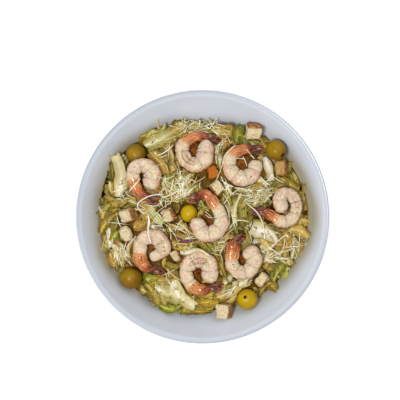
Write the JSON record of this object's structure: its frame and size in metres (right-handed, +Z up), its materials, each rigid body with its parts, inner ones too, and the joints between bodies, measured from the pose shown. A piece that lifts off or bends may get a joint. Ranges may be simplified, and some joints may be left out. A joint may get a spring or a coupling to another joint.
{
  "type": "shrimp caesar salad in a bowl",
  "caption": "Shrimp caesar salad in a round white ceramic bowl: torn romaine and grated cheese with curled tail-on shrimps, green olives and croutons.",
  "frame": {"origin": "centre of the foot ring's underside, on the bowl's axis", "axes": "+Z up along the bowl's axis; +X to the right and +Y to the top of the view from straight above"},
  "size_m": [0.25, 0.25, 0.07],
  "materials": {
    "bowl": "glossy blue-white glaze",
    "salad_bed": "moist torn leaves and grated cheese",
    "shrimp": "moist cooked flesh with an orange and dark red tail shell",
    "olive": "glossy wet skin",
    "crouton": "dry toasted crumb with a brown crust"
  },
  "bodies": {
    "root": {"bowl": "bowl", "salad_bed": "salad_bed", "shrimp_1": "shrimp", "shrimp_2": "shrimp", "shrimp_3": "shrimp", "shrimp_4": "shrimp", "shrimp_5": "shrimp", "shrimp_6": "shrimp", "shrimp_7": "shrimp", "shrimp_8": "shrimp", "olive_1": "olive", "olive_2": "olive", "olive_3": "olive", "olive_4": "olive", "olive_5": "olive", "crouton_1": "crouton", "crouton_2": "crouton", "crouton_3": "crouton", "crouton_4": "crouton", "crouton_5": "crouton", "crouton_6": "crouton", "crouton_7": "crouton", "crouton_8": "crouton", "crouton_9": "crouton", "crouton_10": "crouton"}
  },
  "joints": []
}
